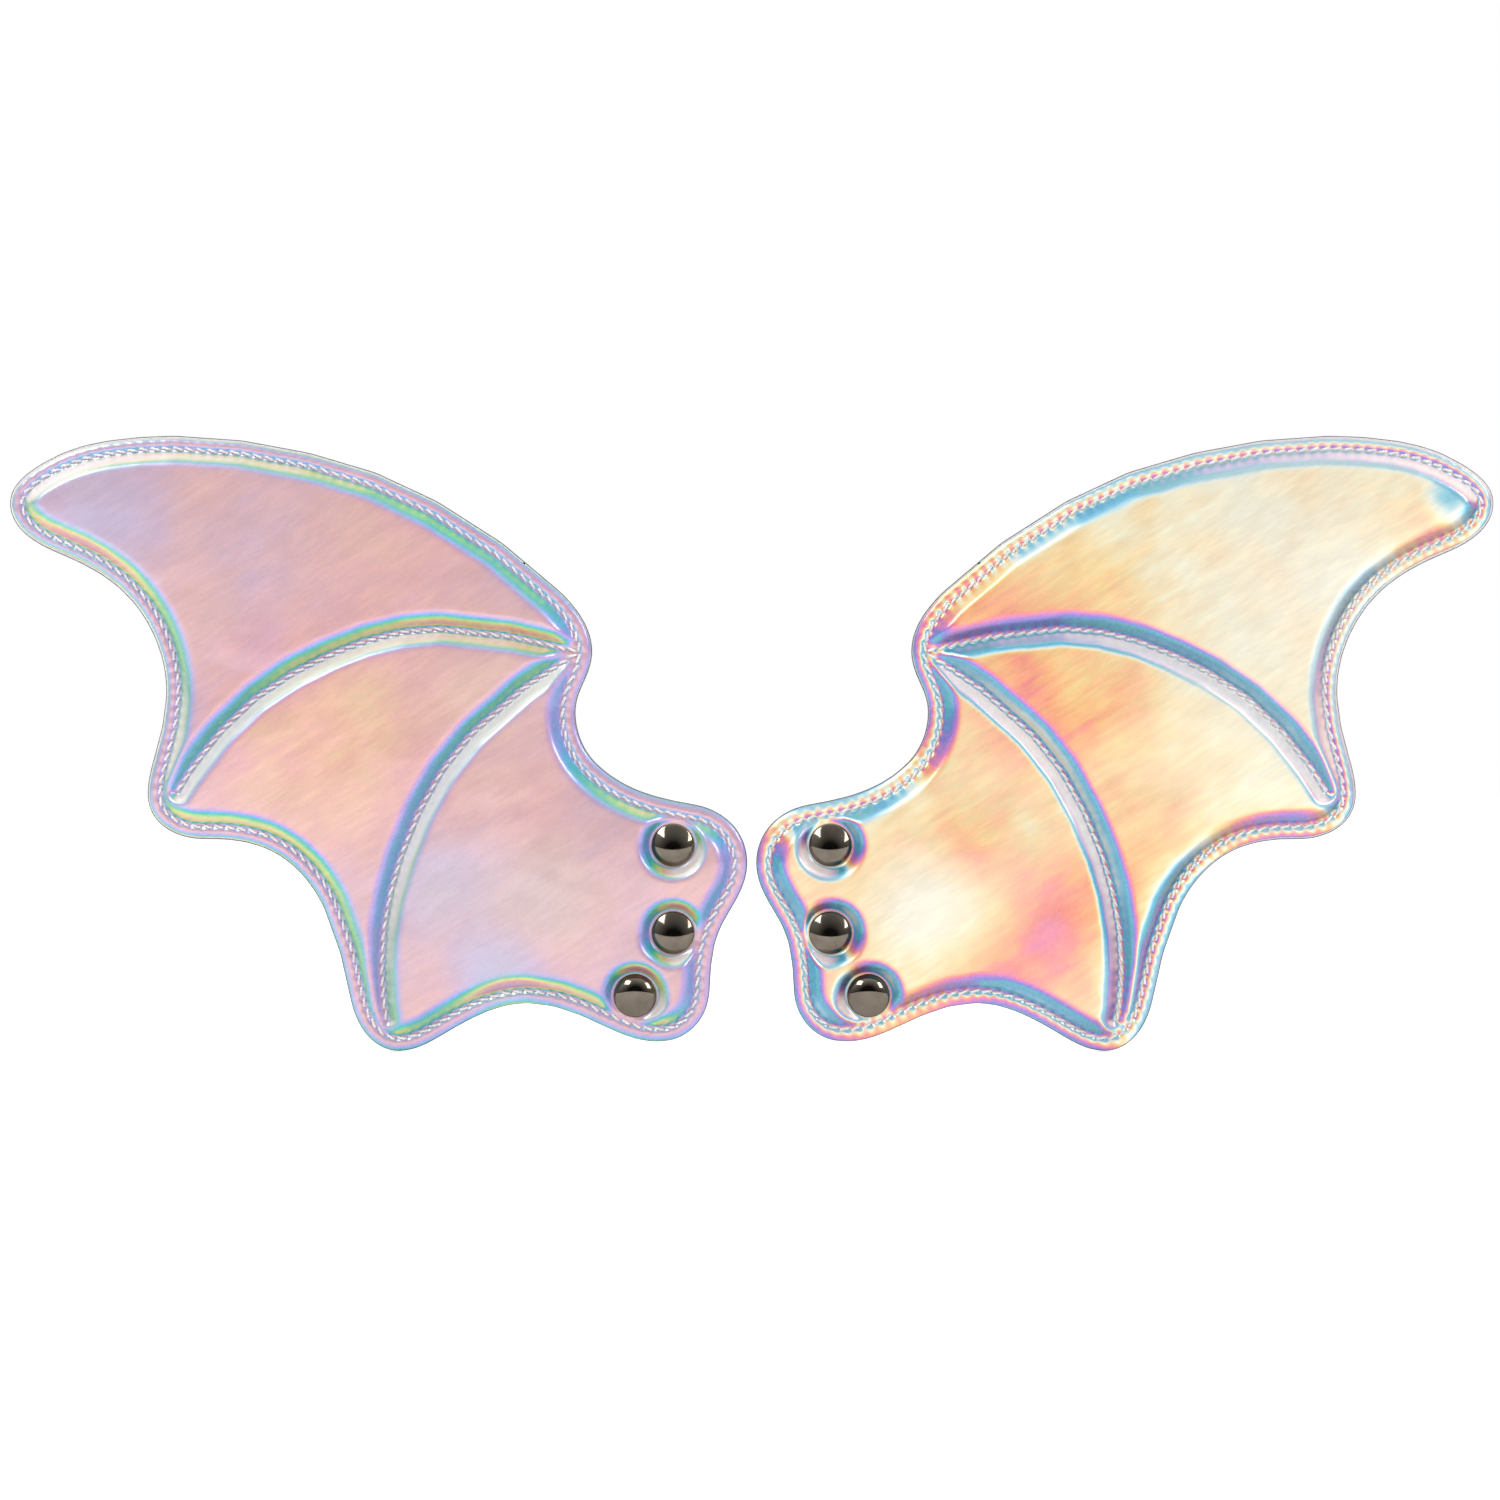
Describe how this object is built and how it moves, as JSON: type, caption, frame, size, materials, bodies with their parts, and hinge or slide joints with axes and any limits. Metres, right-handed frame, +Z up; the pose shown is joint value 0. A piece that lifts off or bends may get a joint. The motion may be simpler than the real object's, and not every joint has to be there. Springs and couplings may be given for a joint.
{
  "type": "costume wings",
  "caption": "Pair of padded, quilted bat-shaped costume wings with curved ribs and press snaps at their roots, for fastening to a boot, bag or harness.",
  "frame": {"origin": "centre of the pair's bounding box, on the mirror plane between the two wings", "axes": "+X across the pair towards the right wing's tip, +Y towards the back, where the snap sockets are, +Z up"},
  "size_m": [0.4304, 0.0104, 0.1784],
  "materials": {
    "cover": "glossy iridescent faux leather",
    "back_cover": "glossy iridescent faux leather",
    "foam": "open-cell foam",
    "board": "flexible plastic board",
    "thread": "silver-grey sewing thread",
    "snap_cap": "polished dark nickel plate",
    "snap_socket": "nickel plate",
    "snap_spring": "phosphor bronze wire"
  },
  "bodies": {
    "left_wing": {"left_front_cover": "cover", "left_back_cover": "back_cover", "left_foam_pad": "foam", "left_stiffener": "board", "left_edge_stitching": "thread", "left_upper_rib_stitching": "thread", "left_lower_rib_stitching": "thread", "left_snap_cap_top": "snap_cap", "left_snap_cap_middle": "snap_cap", "left_snap_cap_bottom": "snap_cap", "left_snap_socket_top": "snap_socket", "left_snap_socket_middle": "snap_socket", "left_snap_socket_bottom": "snap_socket", "left_snap_spring_top": "snap_spring", "left_snap_spring_middle": "snap_spring", "left_snap_spring_bottom": "snap_spring"},
    "right_wing": {"right_front_cover": "cover", "right_back_cover": "back_cover", "right_foam_pad": "foam", "right_stiffener": "board", "right_edge_stitching": "thread", "right_upper_rib_stitching": "thread", "right_lower_rib_stitching": "thread", "right_snap_cap_top": "snap_cap", "right_snap_cap_middle": "snap_cap", "right_snap_cap_bottom": "snap_cap", "right_snap_socket_top": "snap_socket", "right_snap_socket_middle": "snap_socket", "right_snap_socket_bottom": "snap_socket", "right_snap_spring_top": "snap_spring", "right_snap_spring_middle": "snap_spring", "right_snap_spring_bottom": "snap_spring"}
  },
  "joints": [
    {"name": "wing_spread", "type": "slide", "parent": "left_wing", "child": "right_wing", "axis": [1, 0, 0], "range_m": [0, 0.12]}
  ]
}
